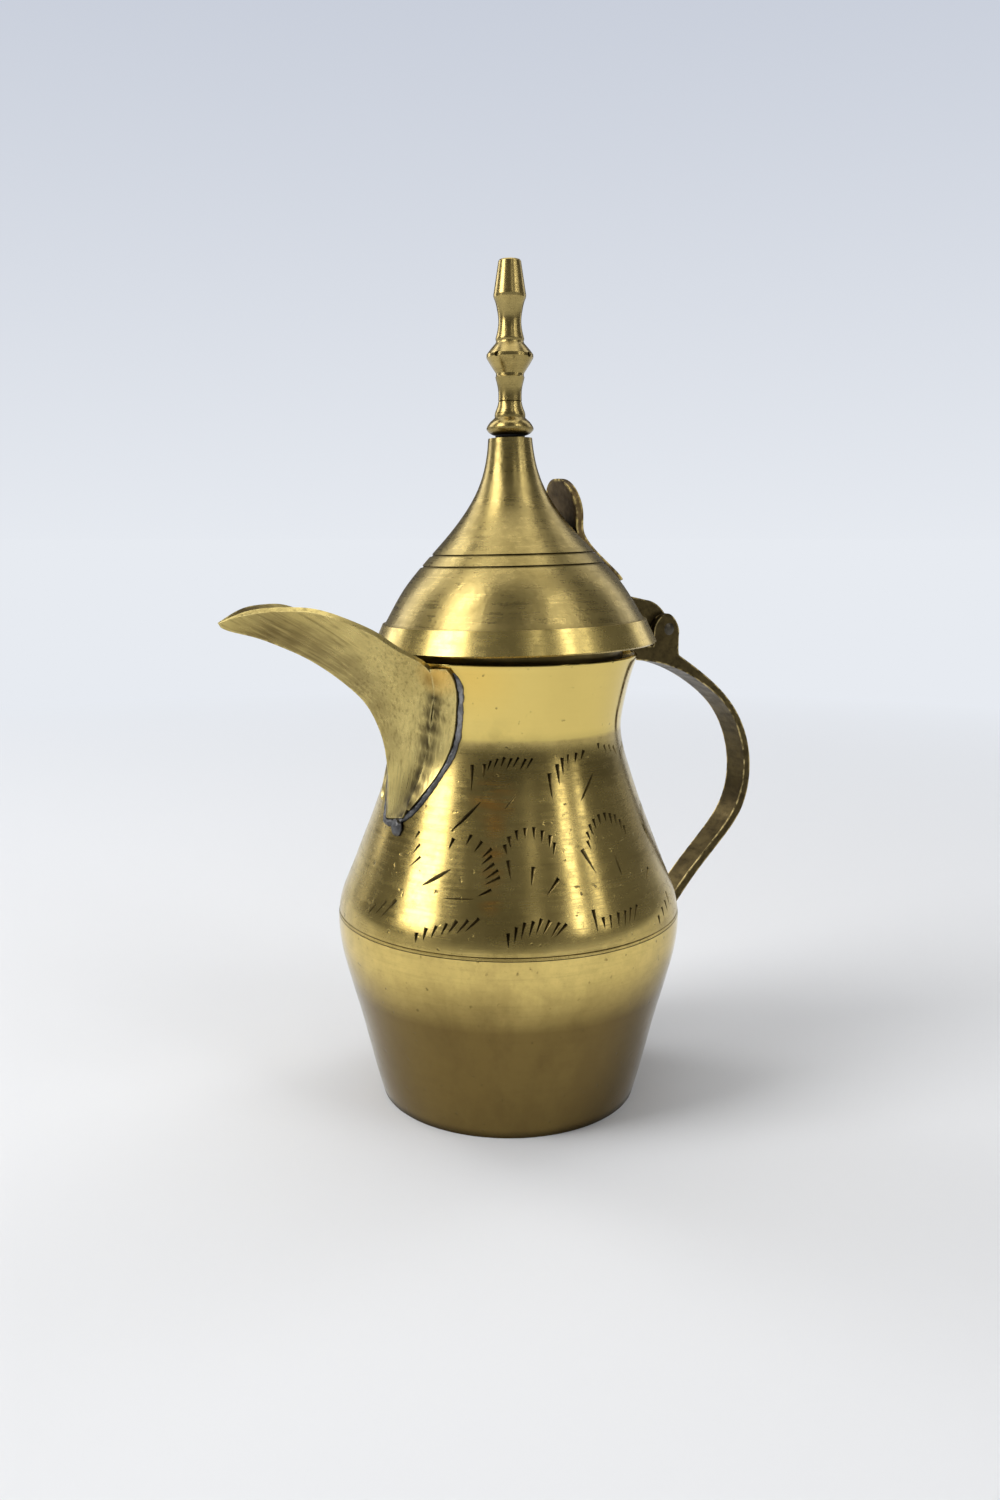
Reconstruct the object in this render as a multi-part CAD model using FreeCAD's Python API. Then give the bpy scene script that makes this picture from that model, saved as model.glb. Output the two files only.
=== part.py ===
import FreeCAD, Part
import math
import os

# Small brass dallah (Arabic coffee pot): spun body, folded-sheet spout, cast strap handle with a
# clevis, hinged spun lid with a turned finial.  Millimetres.  Z up, origin at the centre of the base
# on the pot's axis, +X towards the handle, -X towards the spout; the pot is symmetric about Y = 0.

Vec = FreeCAD.Vector
ORIGIN = Vec(0, 0, 0)
X_DIR = Vec(1, 0, 0)
Y_DIR = Vec(0, 1, 0)
Z_DIR = Vec(0, 0, 1)
BIG = 200.0                     # longer than any piece, for cutting prisms

# ---------------------------------------------------------------- driving dimensions
body_wall = 0.9                 # spun sheet
belly_z = 32.6                  # seam between bowl and shoulder, the widest line
mouth_z = 77.0
mouth_round = 0.35              # broken edge of the mouth
lap_height = 3.0                # lip of the bowl that laps inside the shoulder
lap_wall = 0.7
lap_root = 2.0                  # depth over which the lip grows out of the bowl's wall
base_thick = 1.0                 # flat base disc, let into the foot of the bowl

# outer radius of the body at heights above the table
bowl_stations = [(0.0, 22.3), (6.0, 23.9), (14.0, 25.8), (22.0, 27.95), (27.0, 29.1), (32.6, 29.5)]
shoulder_stations = [(32.6, 29.5), (35.5, 28.95), (39.0, 27.6), (44.0, 25.6), (52.0, 22.5),
                     (58.0, 20.5), (64.5, 19.1), (69.0, 19.65), (73.0, 20.55), (77.0, 21.8)]

spout_wall = 0.9
spout_flange = 0.7              # turned edge of the cheek that lies on the neck
window_half_width = 8.0         # pouring window in the neck, behind the spout
window_low_z = 58.0
window_high_z = 72.6
window_round = 3.0
solder_height = 0.55
keel_fillet = 2.0                # depth of the solder inside the keel, from its sharp edge
lid_solder_height = 0.45
solder_width = 0.7

strap_half_top = 2.75           # half width of the handle at the clevis
strap_half_foot = 2.05          # and at its foot
slot_half = 1.5                 # clevis slot
pin_x = 31.9
pin_z = 79.8
pin_radius = 0.8
pin_hole_clear = 0.05           # running clearance in the lid's knuckle
pin_head_radius = 1.1
pin_head_height = 0.35
knuckle_radius = 2.45
leaf_half = 1.2                 # half thickness of the lid's hinge leaf
slot_floor_radius = 3.35        # round floor of the slot, about the pin

lid_shift = 1.15                # the lid is hinged a little off centre, towards the handle
seat_tilt_deg = 1.2             # the shut lid rests low on the spout side
seat_roll_deg = 0.6             # and low on the far side
lid_wall = 0.8
lid_step_z = 82.3               # seam between dome and rim band
lid_rim_z = 78.3
band_top_radius = 22.15
band_rim_radius = 23.9
band_wall = 0.8
band_lap = 0.9                  # overlap of the band over the foot of the dome
lid_top_z = 112.1
collar_radius = 18.2
collar_wall = 0.7
collar_low_z = 74.6
groove_depth = 0.3
groove_half = 0.28
groove_heights = [93.5, 91.7]
# outer radius of the lid dome at heights above the table
dome_stations = [(82.3, 21.75), (85.0, 20.2), (88.0, 18.3), (91.0, 15.85), (94.0, 13.1),
                 (97.0, 10.35), (100.0, 7.95), (103.0, 6.05), (106.0, 4.75), (109.0, 4.0), (112.1, 3.62)]

finial_lean_deg = 1.3
finial_solder_radius = 2.45


# ---------------------------------------------------------------- helpers
def spline(points):
    curve = Part.BSplineCurve()
    curve.interpolate([Vec(*p) for p in points])
    return curve


def radius_curve(stations):
    return spline([(r, 0, z) for z, r in stations])


def offset_stations(stations, distance, count=14):
    """Stations of the curve a constant distance inside the one through the given stations."""
    curve = radius_curve(stations)
    first, last = curve.FirstParameter, curve.LastParameter
    out = []
    for i in range(count + 1):
        u = first + (last - first) * i / count
        p = curve.value(u)
        t = curve.tangent(u)[0]
        out.append((p.z - distance * t.x * -1.0, p.x - distance * t.z))
    return out


def radius_at(stations, z):
    curve = radius_curve(stations)
    line = Part.Line(Vec(0, 0, z), Vec(BIG, 0, z))
    hits = curve.intersectCC(line)
    return hits[0].X


def revolve(edges):
    wire = Part.Wire(Part.__sortEdges__(edges))
    solid = Part.Face(wire).revolve(ORIGIN, Z_DIR, 360)
    if solid.Volume < 0:
        solid.reverse()
    return solid


def line(a, b):
    return Part.LineSegment(Vec(*a), Vec(*b)).toShape()


def polyline(points):
    return [line(points[i], points[i + 1]) for i in range(len(points) - 1)]


def prism_xz(edges, half):
    """Outline in the XZ plane, extruded the same way to both sides of Y = 0."""
    face = Part.Face(Part.Wire(Part.__sortEdges__(edges)))
    face.translate(Vec(0, -half, 0))
    return face.extrude(Vec(0, 2 * half, 0))


def cylinder_y(radius, x, z, y0, y1):
    return Part.makeCylinder(radius, y1 - y0, Vec(x, y0, z), Y_DIR)


def mirror_y(shape):
    return shape.mirror(ORIGIN, Y_DIR)


def one_solid(shape):
    """The largest solid of a boolean result, as a plain solid."""
    solids = sorted(shape.Solids, key=lambda s: s.Volume)
    return solids[-1]


def save(name, shape):
    shape.exportStep("parts/" + name + ".step")


os.makedirs("parts", exist_ok=True)

# ---------------------------------------------------------------- body
shoulder_outer = radius_curve(shoulder_stations)
shoulder_inner = spline([(r, 0, z) for z, r in offset_stations(shoulder_stations, body_wall)])
bowl_outer = radius_curve(bowl_stations)
bowl_inner = spline([(r, 0, z) for z, r in offset_stations(bowl_stations, body_wall)])


def ends(curve):
    a = curve.value(curve.FirstParameter)
    b = curve.value(curve.LastParameter)
    return a, b


def ring_profile(outer, inner):
    """Wall between two curves, closed at both ends by straight edges."""
    a0, a1 = ends(outer)
    b0, b1 = ends(inner)
    return [outer.toShape(), Part.LineSegment(a1, b1).toShape(), inner.toShape(),
            Part.LineSegment(b0, a0).toShape()]


body_upper = revolve(ring_profile(shoulder_outer, shoulder_inner))
mouth_edges = [e for e in body_upper.Edges
               if e.BoundBox.ZMin > mouth_z - 1.0 and e.BoundBox.ZLength < 0.01]
body_upper = body_upper.makeFillet(mouth_round, mouth_edges)

# bowl, with a lip that laps inside the shoulder above the seam
lip_r = ends(shoulder_inner)[0].x
lip_top_z = belly_z + lap_height
lip_top_r = radius_at(shoulder_stations, lip_top_z) - body_wall
lip_edges = polyline([(lip_r - lap_wall, 0, belly_z - lap_root), (lip_r + 0.2, 0, belly_z - lap_root),
                      (lip_r + 0.2, 0, belly_z), (lip_top_r + 0.3, 0, lip_top_z),
                      (lip_top_r - lap_wall, 0, lip_top_z),
                      (lip_r - lap_wall, 0, belly_z - lap_root)])
bowl_shell = revolve(ring_profile(bowl_outer, bowl_inner))
body_lower = one_solid(bowl_shell.fuse(revolve(lip_edges)).cut(body_upper).removeSplitter())

base_disc = Part.makeCylinder(bowl_stations[0][1] + 1.0, base_thick)
bowl_solid = revolve([bowl_outer.toShape()]
                     + polyline([tuple(ends(bowl_outer)[1]), (0, 0, belly_z), (0, 0, 0),
                                 tuple(ends(bowl_outer)[0])]))
base_plate = one_solid(base_disc.common(bowl_solid).cut(body_lower))

shoulder_solid = revolve([shoulder_outer.toShape()]
                         + polyline([tuple(ends(shoulder_outer)[1]), (0, 0, mouth_z),
                                     (0, 0, belly_z), tuple(ends(shoulder_outer)[0])]))
outside_solid = bowl_solid.fuse(shoulder_solid)

print("body", body_upper.isValid(), body_lower.isValid(), base_plate.isValid(),
      round(body_upper.Volume), round(body_lower.Volume), round(base_plate.Volume))
save("body_lower", body_lower)
save("base_plate", base_plate)

# ---------------------------------------------------------------- spout
# Each cheek is a crescent of sheet.  Rows run from the tip to the foot of the keel:
# keel point (x, z) and the cheek's free edge, or its crease along the neck (x, y, z).
cheek_rows = [
    ((-49.5, 82.95), (-49.8, 0.4, 83.6)),
    ((-47.4, 82.1), (-48.1, 1.3, 84.3)),
    ((-44.0, 81.15), (-45.4, 3.0, 85.0)),
    ((-40.5, 79.75), (-42.5, 4.7, 85.3)),
    ((-36.8, 78.0), (-39.3, 6.3, 85.3)),
    ((-33.2, 75.8), (-36.0, 7.8, 84.65)),
    ((-29.9, 73.3), (-32.4, 9.1, 83.2)),
    ((-27.1, 70.7), (-28.5, 10.1, 81.15)),
    ((-25.2, 67.9), (-24.6, 10.8, 78.6)),
    ((-24.1, 65.4), (-21.2, 11.2, 76.5)),
    ((-23.3, 62.6), (-19.3, 9.9, 71.5)),
    ((-22.9, 59.8), (-18.95, 8.0, 66.5)),
    ((-22.7, 57.0), (-19.4, 6.9, 61.5)),
    ((-22.75, 54.0), (-20.9, 6.3, 56.8)),
    ((-23.1, 50.9), (-22.7, 5.0, 51.8)),
]
# turned flange of the cheek: height, crease (x, y), then the azimuth from -X of its edge
flange_rows = [
    (76.2, (-20.6, 11.15), 35.0),
    (74.0, (-19.9, 10.75), 37.8),
    (71.5, (-19.3, 9.9), 37.8),
    (66.5, (-18.95, 8.0), 35.4),
    (61.5, (-19.4, 6.9), 30.9),
    (56.8, (-20.9, 6.3), 23.4),
    (53.2, (-22.2, 5.5), 16.4),
]


# the far cheek was cut a little narrower at its foot: (height, share of the near cheek's width)
far_cheek_width = [(40.0, 0.6), (53.0, 0.6), (62.0, 0.85), (70.0, 1.0), (90.0, 1.0)]


def far_share(z):
    for i in range(len(far_cheek_width) - 1):
        z0, a = far_cheek_width[i]
        z1, b = far_cheek_width[i + 1]
        if z0 <= z <= z1:
            return a + (b - a) * (z - z0) / (z1 - z0)
    return 1.0


def quad(a, b, c, d):
    return Part.makePolygon([a, b, c, d, a])


def cheek_sections(rows):
    keel_line = spline([(k[0], 0, k[1]) for k, u in rows])
    sections = []
    for k, u in rows:
        keel = Vec(k[0], 0, k[1])
        edge = Vec(*u)
        along = keel_line.tangent(keel_line.parameter(keel))[0]
        across = edge - keel
        normal = along.cross(across)
        normal.normalize()
        if normal.y > 0:
            normal = normal * -1
        inward = across * normal.y - normal * across.y
        inward.normalize()
        if normal.dot(inward) < 0:
            inward = inward * -1
        wall = min(spout_wall, 0.4 * edge.y)
        keel_in = keel + inward * (wall / normal.dot(inward))
        edge_in = edge + normal * wall
        edge_in.y = max(edge_in.y, 0.1)
        sections.append(quad(keel, edge, edge_in, keel_in))
    return sections


def on_body(azimuth, z, lift):
    r = radius_at(shoulder_stations, z) + lift
    a = math.radians(azimuth)
    return Vec(-r * math.cos(a), r * math.sin(a), z)


def flange_sections(rows):
    sections = []
    for z, crease, azimuth in rows:
        out = Vec(crease[0], crease[1], z)
        crease_azimuth = math.degrees(math.atan2(crease[1], -crease[0]))
        low = on_body(crease_azimuth, z, -0.6)
        far_low = on_body(azimuth, z, -0.6)
        far = on_body(azimuth - 1.0, z, spout_flange)
        sections.append(quad(out, far, far_low, low))
    return sections


def spout_cheek(cheeks, flanges):
    sheet = Part.makeLoft(cheek_sections(cheeks), True, False)
    flange = Part.makeLoft(flange_sections(flanges), True, False)
    return one_solid(sheet.fuse(flange).cut(outside_solid))


far_cheek_rows = [(k, (u[0], u[1] * far_share(u[2]), u[2])) for k, u in cheek_rows]
far_flange_rows = [(z, (c[0], c[1] * far_share(z)), a * far_share(z)) for z, c, a in flange_rows]
cheek_near = mirror_y(spout_cheek(cheek_rows, flange_rows))
cheek_far = spout_cheek(far_cheek_rows, far_flange_rows)

# pouring window in the neck wall, behind the spout
window = Part.makeBox(25.0, 2 * window_half_width, window_high_z - window_low_z,
                      Vec(-30.0, -window_half_width, window_low_z))
window_edges = [e for e in window.Edges if e.BoundBox.XLength > 20.0]
window = window.makeFillet(window_round, window_edges)
body_upper = one_solid(body_upper.cut(window))
save("body_upper", body_upper)

# lead-tin bead round the joint: a low shell on the body, inside a band that follows the joint
joint_line = [(12.6, 75.6), (12.75, 74.0), (12.15, 70.5), (11.05, 66.0), (10.35, 63.0), (9.5, 59.8),
              (8.2, 56.6), (6.6, 53.6), (4.9, 51.6), (2.5, 50.7)]


def joint_outline(points, grow, foot_z):
    near = [(-y - grow, z) for y, z in points]
    far = [(y * far_share(z) + grow, z) for y, z in points]
    outline = far + [(0.0, foot_z)] + near[::-1]
    curve = spline([(-BIG / 2, y, z) for y, z in outline])
    a = curve.value(curve.FirstParameter)
    b = curve.value(curve.LastParameter)
    return Part.Face(Part.Wire([curve.toShape(), Part.LineSegment(b, a).toShape()]))


def outside_shell(stations, lift):
    outer = spline([(r, 0, z) for z, r in offset_stations(stations, -lift)])
    return revolve(ring_profile(outer, radius_curve(stations)))


bead_band = joint_outline(joint_line, solder_width, 48.9).extrude(Vec(BIG / 2, 0, 0))
bead_hole = joint_outline(joint_line, -0.6, 52.3).extrude(Vec(BIG / 2, 0, 0))
bead = outside_shell(shoulder_stations, solder_height).common(bead_band).cut(bead_hole)
spout_solder = one_solid(bead.cut(cheek_far).cut(cheek_near).cut(body_upper))

# fillet of solder inside the keel, filed flush outside
def keel_sections(rows, reach):
    keel_line = spline([(k[0], 0, k[1]) for k, u in rows])
    sections = []
    for k, u in rows:
        keel = Vec(k[0], 0, k[1])
        along = keel_line.tangent(keel_line.parameter(keel))[0]
        up = Vec(-along.z, 0, along.x)
        if up.dot(Vec(u[0], 0, u[2]) - keel) < 0:
            up = up * -1
        crest = keel + up * reach
        side = Vec(0, reach * 1.3, 0)
        foot = keel + up * 0.2
        sections.append(Part.makePolygon([foot, crest + side, crest - side, foot]))
    return sections


keel_rod = Part.makeLoft(keel_sections(cheek_rows[4:-2], keel_fillet), True, False)
keel_solder = one_solid(keel_rod.cut(cheek_far).cut(cheek_near).cut(outside_solid))
save("keel_solder", keel_solder)
print("keel solder", keel_solder.isValid(), round(keel_solder.Volume, 2))

print("spout", cheek_far.isValid(), round(cheek_far.Volume, 1), len(cheek_far.Faces),
      spout_solder.isValid(), round(spout_solder.Volume, 1))
save("spout_cheek_left", cheek_near)
save("spout_cheek_right", cheek_far)
save("spout_solder", spout_solder)

# ---------------------------------------------------------------- handle
strap_outer = [(34.3, 75.0), (41.5, 70.3), (48.2, 64.0), (51.85, 56.5), (52.4, 51.0), (50.9, 44.8),
               (46.1, 38.9), (39.8, 32.8), (34.5, 26.7), (29.0, 20.4)]
strap_inner = [(27.6, 21.5), (33.2, 28.0), (38.6, 33.9), (45.1, 40.1), (49.5, 45.6), (50.95, 51.0),
               (50.4, 56.6), (46.9, 63.7), (40.6, 69.1), (33.2, 72.8), (26.0, 74.4)]
ear_curve = [(28.6, 79.6), (29.5, 81.5), (31.5, 82.6), (33.3, 81.4), (34.15, 78.6)]
ear_back_z = 76.0
block_top_z = 76.9
block_root_x = 21.0
block_low_z = 75.0

handle_edges = [
    line((block_root_x, 0, mouth_z - 0.4), (block_root_x + 1.5, 0, block_top_z)),
    line((block_root_x + 1.5, 0, block_top_z), (28.6, 0, block_top_z)),
    line((28.6, 0, block_top_z), (ear_curve[0][0], 0, ear_curve[0][1])),
    spline([(x, 0, z) for x, z in ear_curve]).toShape(),
    line((ear_curve[-1][0], 0, ear_curve[-1][1]), (ear_curve[-1][0], 0, ear_back_z)),
    line((ear_curve[-1][0], 0, ear_back_z), (strap_outer[0][0], 0, strap_outer[0][1])),
    spline([(x, 0, z) for x, z in strap_outer]).toShape(),
    line((strap_outer[-1][0], 0, strap_outer[-1][1]), (strap_inner[0][0], 0, strap_inner[0][1])),
    spline([(x, 0, z) for x, z in strap_inner]).toShape(),
    line((strap_inner[-1][0], 0, strap_inner[-1][1]), (block_root_x, 0, block_low_z)),
    line((block_root_x, 0, block_low_z), (block_root_x, 0, mouth_z - 0.4)),
]
handle = prism_xz(handle_edges, strap_half_top)
# the strap narrows from the clevis to the foot
front = Part.makePolygon([Vec(0, -strap_half_foot, 15), Vec(0, strap_half_foot, 15),
                          Vec(0, strap_half_top, 72), Vec(0, strap_half_top, 90),
                          Vec(0, -strap_half_top, 90), Vec(0, -strap_half_top, 72),
                          Vec(0, -strap_half_foot, 15)])
handle = handle.common(Part.Face(front).extrude(Vec(BIG, 0, 0)))
slot = cylinder_y(slot_floor_radius, pin_x, pin_z, -slot_half, slot_half)
slot = slot.fuse(Part.makeBox(pin_x - 27.0, 2 * slot_half, 10.0,
                              Vec(27.0, -slot_half, pin_z - slot_floor_radius)))
slot = slot.fuse(Part.makeBox(12.0, 2 * slot_half, 10.0, Vec(27.0, -slot_half, pin_z)))
pin_hole = cylinder_y(pin_radius, pin_x, pin_z, -10, 10)
handle = one_solid(handle.cut(slot).cut(pin_hole).cut(outside_solid))

hinge_pin = cylinder_y(pin_radius, pin_x, pin_z, -strap_half_top, strap_half_top)

for side in (-1, 1):
    dome_height = pin_head_height
    sphere_r = (pin_head_radius ** 2 + dome_height ** 2) / (2 * dome_height)
    centre = Vec(pin_x, side * (strap_half_top + dome_height - sphere_r), pin_z)
    cap = Part.makeSphere(sphere_r, centre)
    y0 = strap_half_top if side > 0 else -strap_half_top - 5.0
    cap = cap.common(Part.makeBox(20, 5.0, 20, Vec(pin_x - 10, y0, pin_z - 10)))
    hinge_pin = hinge_pin.fuse(cap)
hinge_pin = one_solid(hinge_pin.removeSplitter())


def solder_patch(shell, x0, y0, z0, lx, ly, lz, keep_out):
    """Low patch of solder round a joint, cut from a thin shell on the surface, open where the
    joined pieces stand."""
    box = Part.makeBox(lx, ly, lz, Vec(x0, y0, z0))
    box = box.makeFillet(1.2, [e for e in box.Edges if e.BoundBox.XLength > lx - 0.01])
    patch = shell.common(box)
    for piece in keep_out:
        patch = patch.cut(piece)
    return one_solid(patch)


handle_solder_top = solder_patch(outside_shell(shoulder_stations, solder_height), 15.0, -3.6, 73.7, 12.0, 7.2, 2.5,
                                 [handle, body_upper])
handle_solder_foot = solder_patch(outside_shell(bowl_stations, solder_height), 20.0, -3.4, 20.2, 15.0, 6.8, 5.4,
                                  [handle, body_lower])
print("handle", handle.isValid(), round(handle.Volume, 1), hinge_pin.isValid(),
      handle_solder_top.isValid(), round(handle_solder_top.Volume, 2),
      handle_solder_foot.isValid(), round(handle_solder_foot.Volume, 2))
save("handle", handle)
save("hinge_pin", hinge_pin)
save("handle_solder_top", handle_solder_top)
save("handle_solder_foot", handle_solder_foot)

# ---------------------------------------------------------------- lid
def seat(shape):
    """From the lid's own axis to where the shut lid lies."""
    shape.translate(Vec(lid_shift, 0, 0))
    shape.rotate(Vec(lid_shift, 0, lid_rim_z), Y_DIR, -seat_tilt_deg)
    shape.rotate(Vec(lid_shift, 0, lid_rim_z), X_DIR, -seat_roll_deg)
    return shape


dome_outer = radius_curve(dome_stations)
dome_inner_stations = [s for s in offset_stations(dome_stations, lid_wall) if s[0] < lid_top_z - 2.0]
dome_inner_stations[0] = (lid_step_z - band_lap, dome_inner_stations[0][1] + 0.45)
dome_inner = spline([(r, 0, z) for z, r in dome_inner_stations])
foot_r = dome_stations[0][1]
inner_top = ends(dome_inner)[1]
dome_edges = [dome_outer.toShape(), dome_inner.toShape()]
dome_edges += polyline([tuple(ends(dome_outer)[1]), (0, 0, lid_top_z), (0, 0, inner_top.z),
                        tuple(inner_top)])
dome_edges += polyline([tuple(ends(dome_outer)[0]), (foot_r - 0.35, 0, lid_step_z),
                        (foot_r - 0.35 + 0.2, 0, lid_step_z - band_lap),
                        tuple(ends(dome_inner)[0])])
lid_dome = revolve(dome_edges)
for z in groove_heights:
    r = radius_at(dome_stations, z)
    notch = polyline([(r - groove_depth, 0, z), (r + groove_depth, 0, z - groove_half - 0.35),
                      (r + groove_depth, 0, z + groove_half), (r - groove_depth, 0, z)])
    lid_dome = lid_dome.cut(revolve(notch))
lid_dome = one_solid(lid_dome)

band_edges = polyline([
    (band_top_radius, 0, lid_step_z), (band_rim_radius, 0, lid_rim_z + 0.25),
    (band_rim_radius - 0.3, 0, lid_rim_z), (band_rim_radius - band_wall, 0, lid_rim_z),
    (foot_r - 0.15, 0, lid_step_z - band_lap), (foot_r - 0.35, 0, lid_step_z),
    (band_top_radius, 0, lid_step_z)])
lid_band = one_solid(revolve(band_edges).cut(lid_dome))

collar_top_z = lid_step_z - band_lap
collar = Part.makeCylinder(collar_radius, 12.0, Vec(0, 0, collar_low_z))
collar = collar.cut(Part.makeCylinder(collar_radius - collar_wall, 12.0, Vec(0, 0, collar_low_z)))
dome_solid = revolve([dome_outer.toShape()]
                     + polyline([tuple(ends(dome_outer)[1]), (0, 0, lid_top_z), (0, 0, collar_low_z),
                                 (foot_r, 0, collar_low_z), tuple(ends(dome_outer)[0])]))
lid_collar = one_solid(collar.common(dome_solid).cut(lid_dome))

lid_outside = revolve(polyline([(0, 0, lid_rim_z), (band_rim_radius, 0, lid_rim_z + 0.25),
                                (band_top_radius, 0, lid_step_z), (0, 0, lid_step_z),
                                (0, 0, lid_rim_z)])).fuse(dome_solid)

# turned finial: heights and radii from the foot up; the ends of each run are sharp edges
finial_runs = [
    [(112.6, 2.6), (113.0, 3.45), (113.45, 3.84)],
    [(113.45, 3.84), (113.75, 3.86)],
    [(113.75, 3.86), (114.4, 3.5), (115.1, 2.8)],
    [(115.1, 2.8), (115.4, 2.5)],
    [(115.4, 2.5), (115.8, 2.52), (116.2, 2.46)],
    [(116.2, 2.46), (117.0, 2.15), (117.5, 1.99), (117.9, 1.93)],
    [(117.9, 1.93), (117.97, 1.8)],
    [(117.97, 1.8), (118.05, 1.92)],
    [(118.05, 1.92), (119.1, 1.9), (120.1, 1.98), (121.0, 2.18), (121.8, 2.38)],
    [(121.8, 2.38), (121.95, 2.28)],
    [(121.95, 2.28), (122.35, 2.27)],
    [(122.35, 2.27), (122.9, 2.62), (123.9, 3.27), (124.85, 3.82)],
    [(124.85, 3.82), (125.35, 3.8)],
    [(125.35, 3.8), (126.1, 3.22), (127.1, 2.35)],
    [(127.1, 2.35), (127.4, 2.22)],
    [(127.4, 2.22), (127.7, 2.32), (128.1, 2.26)],
    [(128.1, 2.26), (129.3, 1.98), (130.6, 1.86), (132.3, 2.06), (133.45, 2.32), (134.2, 2.62)],
    [(134.2, 2.62), (134.6, 2.66)],
    [(134.6, 2.66), (139.8, 1.84)],
    [(139.8, 1.84), (140.0, 1.68)],
]
notch_radius = 0.55
notch_depth = 0.45
notch_azimuths = (25.0, 115.0, 205.0, 295.0)
equator_z = 125.1
equator_r = 3.81

finial_edges = []
for run in finial_runs:
    if len(run) == 2:
        finial_edges.append(line((run[0][1], 0, run[0][0]), (run[1][1], 0, run[1][0])))
    else:
        finial_edges.append(radius_curve(run).toShape())
low = finial_runs[0][0]
top = finial_runs[-1][-1]
finial_edges += polyline([(top[1], 0, top[0]), (0, 0, top[0]), (0, 0, low[0]), (low[1], 0, low[0])])
finial = revolve(finial_edges)
for azimuth in notch_azimuths:
    a = math.radians(azimuth)
    out = Vec(math.cos(a), math.sin(a), 0)
    start = out * (equator_r - notch_depth) + Vec(0, 0, equator_z)
    finial = finial.cut(Part.makeCone(notch_radius * 0.5, notch_radius * 1.2, 1.0, start, out))
finial = one_solid(finial)
finial.rotate(Vec(0, 0, low[0]), Y_DIR, finial_lean_deg)

# rough solder that stands between the lid's flat top and the leaning finial
solder_edges = [line((0, 0, lid_top_z), (finial_solder_radius - 0.2, 0, lid_top_z)),
                spline([(finial_solder_radius - 0.2, 0, lid_top_z),
                        (finial_solder_radius, 0, lid_top_z + 0.4),
                        (finial_solder_radius - 0.05, 0, lid_top_z + 0.75)]).toShape(),
                line((finial_solder_radius - 0.05, 0, lid_top_z + 0.75), (0, 0, lid_top_z + 0.75)),
                line((0, 0, lid_top_z + 0.75), (0, 0, lid_top_z))]
finial_solder = one_solid(revolve(solder_edges).cut(finial))

for piece in (lid_dome, lid_band, lid_collar, finial, finial_solder, lid_outside):
    seat(piece)

# hinge leaf: a cast lug, soldered to the back of the lid, with the knuckle on the pin
knuckle_start = Vec(pin_x + 0.3, 0, pin_z + math.sqrt(knuckle_radius ** 2 - 0.09))
hump = [(27.8, 85.05), (29.9, 84.35), (31.3, 83.3), (knuckle_start.x, knuckle_start.z)]
knuckle_mid = Vec(pin_x + knuckle_radius, 0, pin_z)
knuckle_end = Vec(pin_x - 0.6, 0, pin_z - math.sqrt(knuckle_radius ** 2 - 0.36))
leaf_edges = [
    line((16.0, 0, 87.5), (27.8, 0, 85.05)),
    spline([(x, 0, z) for x, z in hump]).toShape(),
    Part.Arc(knuckle_start, knuckle_mid, knuckle_end).toShape(),
    line(tuple(knuckle_end), (27.0, 0, 77.9)),
    line((27.0, 0, 77.9), (16.0, 0, 79.2)),
    line((16.0, 0, 79.2), (16.0, 0, 87.5)),
]
leaf_hole = cylinder_y(pin_radius + pin_hole_clear, pin_x, pin_z, -10, 10)
hinge_leaf = one_solid(prism_xz(leaf_edges, leaf_half).cut(leaf_hole).cut(lid_outside).cut(lid_band))

# thumb tab: a strap up the back of the dome that stands off as a round paddle
tab_outer = [(20.9, 88.9), (18.9, 90.6), (17.0, 92.3), (15.2, 94.1), (13.8, 96.0), (12.75, 98.0),
             (12.05, 100.2), (11.3, 102.8), (10.4, 106.0)]
tab_inner = [(18.9, 87.5), (17.3, 89.2), (15.8, 91.0), (14.3, 93.0), (12.8, 95.3), (11.5, 97.6),
             (10.75, 99.9), (10.0, 102.5), (9.15, 105.8)]
tab_width = [(88.6, 3.3), (89.4, 3.9), (91.5, 3.9), (94.5, 3.1), (96.6, 2.7), (98.2, 3.3),
             (100.2, 4.2), (102.3, 4.3), (104.3, 3.4), (105.5, 1.8)]
tab_top_z = 105.85
tab_low_z = 88.0
tab_edges = [
    spline([(x, 0, z) for x, z in tab_outer]).toShape(),
    line(tab_outer[-1][:1] + (0,) + tab_outer[-1][1:], (tab_inner[-1][0], 0, tab_inner[-1][1])),
    spline([(x, 0, z) for x, z in tab_inner]).toShape(),
    line((tab_inner[0][0], 0, tab_inner[0][1]), (tab_outer[0][0], 0, tab_outer[0][1])),
]
right_side = [(0, w, z) for z, w in tab_width]
left_side = [(0, -w, z) for z, w in reversed(tab_width)]
width_curve = spline(right_side + [(0, 0, tab_top_z)] + left_side)
width_end = width_curve.value(width_curve.LastParameter)
width_start = width_curve.value(width_curve.FirstParameter)
tab_low = [tuple(width_end), (0, -2.4, tab_low_z), (0, 2.4, tab_low_z), tuple(width_start)]
tab_face = Part.Face(Part.Wire([width_curve.toShape()] + polyline(tab_low)))
thumb_tab = prism_xz(tab_edges, 6.0).common(tab_face.extrude(Vec(BIG / 4, 0, 0)))
thumb_tab = one_solid(thumb_tab.cut(lid_outside))

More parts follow.
